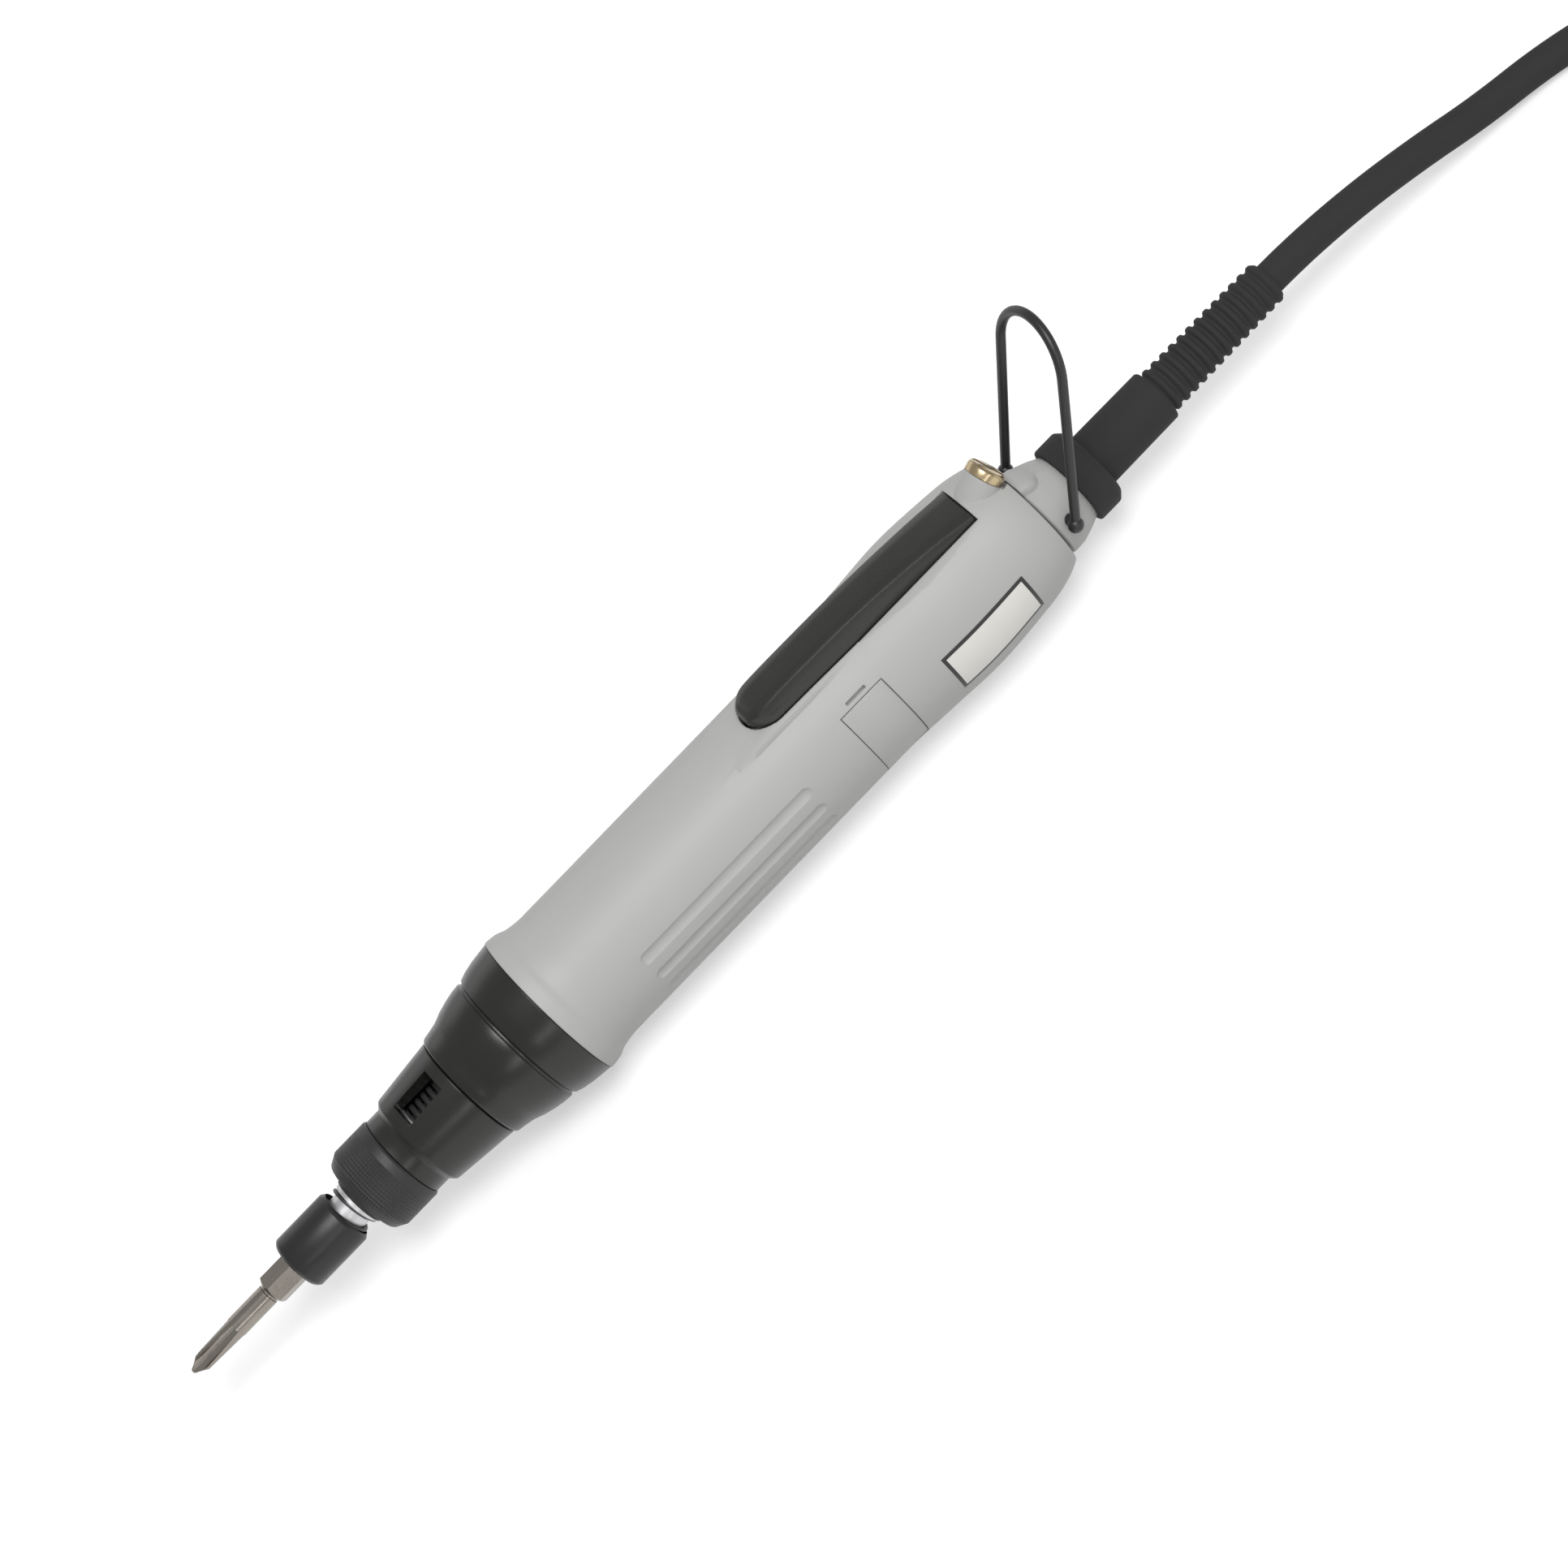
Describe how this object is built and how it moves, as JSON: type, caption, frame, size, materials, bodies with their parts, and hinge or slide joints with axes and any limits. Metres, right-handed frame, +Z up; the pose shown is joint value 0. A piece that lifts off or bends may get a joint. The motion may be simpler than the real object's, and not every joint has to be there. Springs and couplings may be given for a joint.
{
  "type": "corded electric screwdriver",
  "caption": "In-line corded electric screwdriver with start lever, torque ring and scale window, sleeve chuck with cross-head bit, hanging bail and plug-ended cord.",
  "frame": {"origin": "on the surface that the tool lies on, under the middle of the tool's length from bit tip to the end of the strain relief", "axes": "+X along the tool from the bit to the cord, +Z up on the lever's side, -Y on the side with the plate"},
  "size_m": [0.5531, 0.0563, 0.0575],
  "materials": {
    "grey_plastic": "fine matt",
    "black_plastic": "fine matt",
    "black_steel": "satin blackened",
    "bright_steel": "satin",
    "spring_steel": "dark wire",
    "gear_steel": "ground",
    "motor_steel": "zinc plated",
    "magnet": "matt ferrite",
    "copper": "varnished",
    "bronze": "sintered",
    "carbon": "pressed carbon",
    "light_alloy": "turned",
    "bell_plastic": "moulded",
    "board": "lacquered",
    "switch_plastic": "moulded",
    "brass_screw": "satin",
    "pin_brass": "plated",
    "black_rubber": "matt"
  },
  "bodies": {
    "housing": {"shell_left": "grey_plastic", "shell_right": "grey_plastic", "nose_cone": "black_plastic", "scale_barrel": "black_plastic", "hub_bush": "bronze", "ring_gear": "gear_steel", "motor_plate": "light_alloy", "motor_can": "motor_steel", "magnet_left": "magnet", "magnet_right": "magnet", "motor_front_bush": "bronze", "brush_bell": "bell_plastic", "motor_rear_bush": "bronze", "brush_left": "carbon", "brush_right": "carbon", "brush_spring_left": "spring_steel", "brush_spring_right": "spring_steel", "brush_hatch_left": "grey_plastic", "brush_hatch_right": "grey_plastic", "start_switch": "switch_plastic", "circuit_board": "board", "lever_pin": "bright_steel", "lever_spring": "spring_steel", "end_cap": "grey_plastic", "cap_screw": "brass_screw", "gland_nut": "black_plastic", "strain_boot": "black_rubber", "cord_lead": "black_rubber", "cord_hank": "black_rubber", "hank_tie": "black_plastic", "plug_grip": "black_rubber", "plug_shell": "bright_steel", "plug_pins": "pin_brass"},
    "spindle": {"spindle": "bright_steel", "bit": "bright_steel", "bit_ball": "bright_steel", "stop_ring": "bright_steel", "clutch_plate": "gear_steel", "clutch_balls": "gear_steel", "planet_carrier": "gear_steel", "sleeve_spring": "spring_steel", "torque_spring": "spring_steel"},
    "sleeve": {"chuck_sleeve": "black_steel"},
    "rotor": {"motor_shaft": "gear_steel", "armature_core": "motor_steel", "armature_windings": "copper", "commutator": "copper", "sun_gear": "gear_steel"},
    "planet_1": {"planet_gear_1": "gear_steel"},
    "planet_2": {"planet_gear_2": "gear_steel"},
    "planet_3": {"planet_gear_3": "gear_steel"},
    "torque_ring": {"torque_ring": "black_steel", "front_bush": "bronze"},
    "torque_nut": {"torque_nut": "bright_steel"},
    "lever": {"start_lever": "black_plastic"},
    "plunger": {"switch_plunger": "switch_plastic"},
    "bail": {"bail": "black_steel"}
  },
  "joints": [
    {"name": "motor_spin", "type": "hinge", "parent": "housing", "child": "rotor", "pos_m": [0, 0, 0.01805], "axis": [1, 0, 0], "continuous": true},
    {"name": "spindle_spin", "type": "hinge", "parent": "housing", "child": "spindle", "pos_m": [0, 0, 0.01805], "axis": [1, 0, 0], "continuous": true},
    {"name": "planet_1_spin", "type": "hinge", "parent": "spindle", "child": "planet_1", "pos_m": [-0.04405, 0.00675, 0.01805], "axis": [1, 0, 0], "continuous": true},
    {"name": "planet_2_spin", "type": "hinge", "parent": "spindle", "child": "planet_2", "pos_m": [-0.04405, -0.00337, 0.0239], "axis": [1, 0, 0], "continuous": true},
    {"name": "planet_3_spin", "type": "hinge", "parent": "spindle", "child": "planet_3", "pos_m": [-0.04405, -0.00337, 0.0122], "axis": [1, 0, 0], "continuous": true},
    {"name": "sleeve_slide", "type": "slide", "parent": "spindle", "child": "sleeve", "axis": [1, 0, 0], "range_m": [0, 0.003], "stiffness_N_per_m": 600, "springref_m": -0.003, "deforming": ["sleeve_spring"]},
    {"name": "torque_ring_turn", "type": "hinge", "parent": "housing", "child": "torque_ring", "pos_m": [-0.1016, 0, 0.01805], "axis": [1, 0, 0], "range_deg": [0, 1800], "deforming": ["torque_spring"]},
    {"name": "torque_nut_slide", "type": "slide", "parent": "housing", "child": "torque_nut", "axis": [1, 0, 0], "range_m": [0, 0.0076]},
    {"name": "lever_press", "type": "hinge", "parent": "housing", "child": "lever", "pos_m": [0.0739, 0, 0.03275], "axis": [0, -1, 0], "range_deg": [0, 3.2], "stiffness_Nm_per_rad": 2, "springref_deg": -2.86, "deforming": ["lever_spring"]},
    {"name": "plunger_slide", "type": "slide", "parent": "housing", "child": "plunger", "axis": [0, 0, -1], "range_m": [0, 0.0012]},
    {"name": "bail_swing", "type": "hinge", "parent": "housing", "child": "bail", "pos_m": [0.09155, 0, 0.01805], "axis": [0, 1, 0], "range_deg": [-45, 57]}
  ],
  "couplings": [
    {"joint": "spindle_spin", "follows": "motor_spin", "ratio": 0.22222},
    {"joint": "planet_1_spin", "follows": "motor_spin", "ratio": -0.62222},
    {"joint": "planet_2_spin", "follows": "motor_spin", "ratio": -0.62222},
    {"joint": "planet_3_spin", "follows": "motor_spin", "ratio": -0.62222},
    {"joint": "torque_nut_slide", "follows": "torque_ring_turn", "m_per_rad": 0.00023873},
    {"joint": "plunger_slide", "follows": "lever_press", "m_per_rad": 0.01685}
  ]
}
